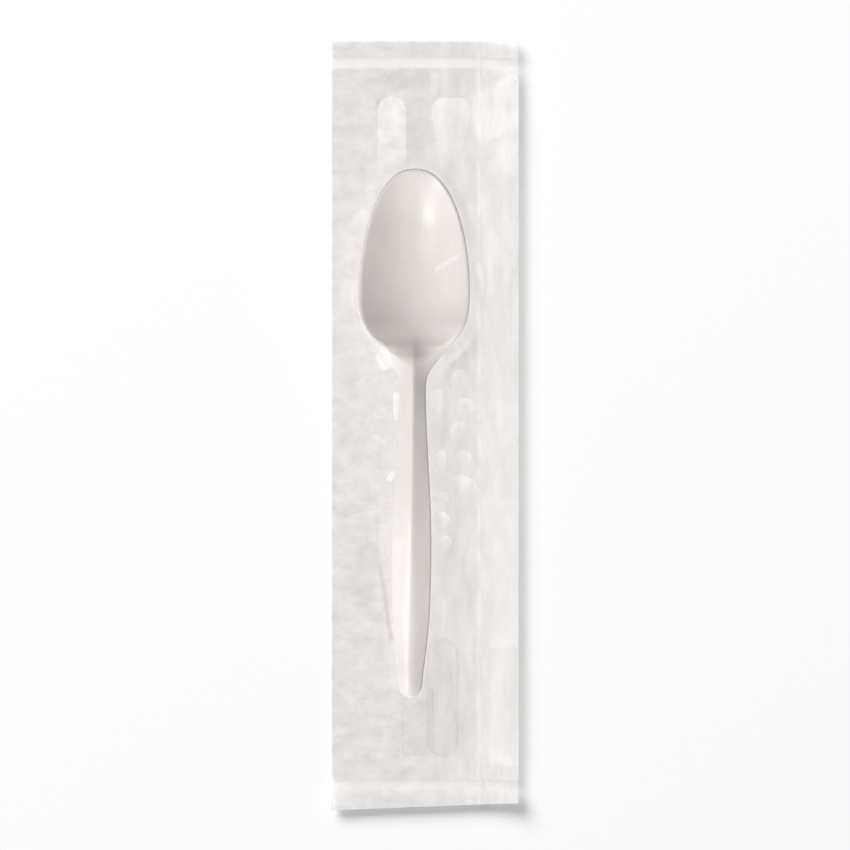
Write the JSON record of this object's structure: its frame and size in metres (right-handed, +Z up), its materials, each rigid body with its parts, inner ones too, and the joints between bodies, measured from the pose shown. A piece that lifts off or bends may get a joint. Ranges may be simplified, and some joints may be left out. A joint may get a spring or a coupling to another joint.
{
  "type": "wrapped plastic teaspoon",
  "caption": "Disposable plastic teaspoon sealed in a clear film sleeve with a lapped back seam and a narrow heat seal at each end.",
  "frame": {"origin": "middle of the footprint, on the surface that the pack lies on", "axes": "+Y along the pack from the handle towards the bowl, +X across it, +Z up out of the front panel"},
  "size_m": [0.0506, 0.2078, 0.0095],
  "materials": {
    "spoon_plastic": "warm white moulded polypropylene, semi-gloss",
    "clear_film": "thin clear polypropylene film, slightly milky, glossy"
  },
  "bodies": {
    "root": {"spoon": "spoon_plastic", "film_sleeve": "clear_film"}
  },
  "joints": []
}
